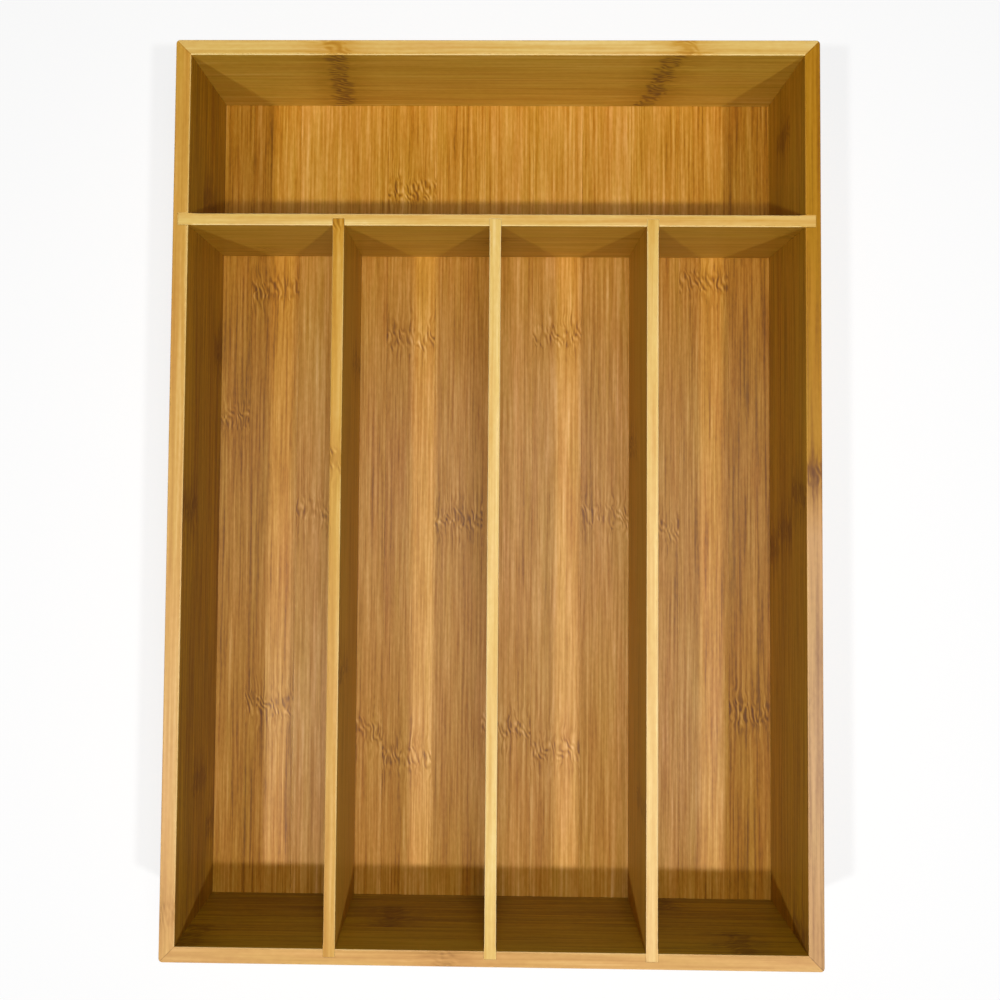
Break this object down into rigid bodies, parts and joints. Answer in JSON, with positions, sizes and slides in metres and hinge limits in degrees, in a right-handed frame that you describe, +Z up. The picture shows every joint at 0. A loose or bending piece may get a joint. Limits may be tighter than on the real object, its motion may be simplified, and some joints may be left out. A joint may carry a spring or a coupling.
{
  "type": "cutlery tray",
  "caption": "Open-topped rectangular bamboo drawer tray with mitred walls, one crosswise compartment at the back and equal long compartments in front of it, on a laminated floor board.",
  "frame": {"origin": "middle of the tray's plan, on the surface that it stands on", "axes": "+X to the tray's right, +Y towards the crosswise compartment at its back, +Z up"},
  "size_m": [0.251, 0.355, 0.05],
  "materials": {
    "wall_bamboo": "satin clear lacquer on planed bamboo",
    "divider_bamboo": "satin clear lacquer on planed bamboo",
    "floor_bamboo": "satin clear lacquer on flat-pressed bamboo",
    "spline_bamboo": "raw sawn bamboo"
  },
  "bodies": {
    "root": {"back_wall": "wall_bamboo", "front_wall": "wall_bamboo", "left_wall": "wall_bamboo", "right_wall": "wall_bamboo", "cross_divider": "divider_bamboo", "long_divider_1": "divider_bamboo", "long_divider_2": "divider_bamboo", "long_divider_3": "divider_bamboo", "floor_board": "floor_bamboo", "back_left_spline": "spline_bamboo", "back_right_spline": "spline_bamboo", "front_left_spline": "spline_bamboo", "front_right_spline": "spline_bamboo"}
  },
  "joints": []
}
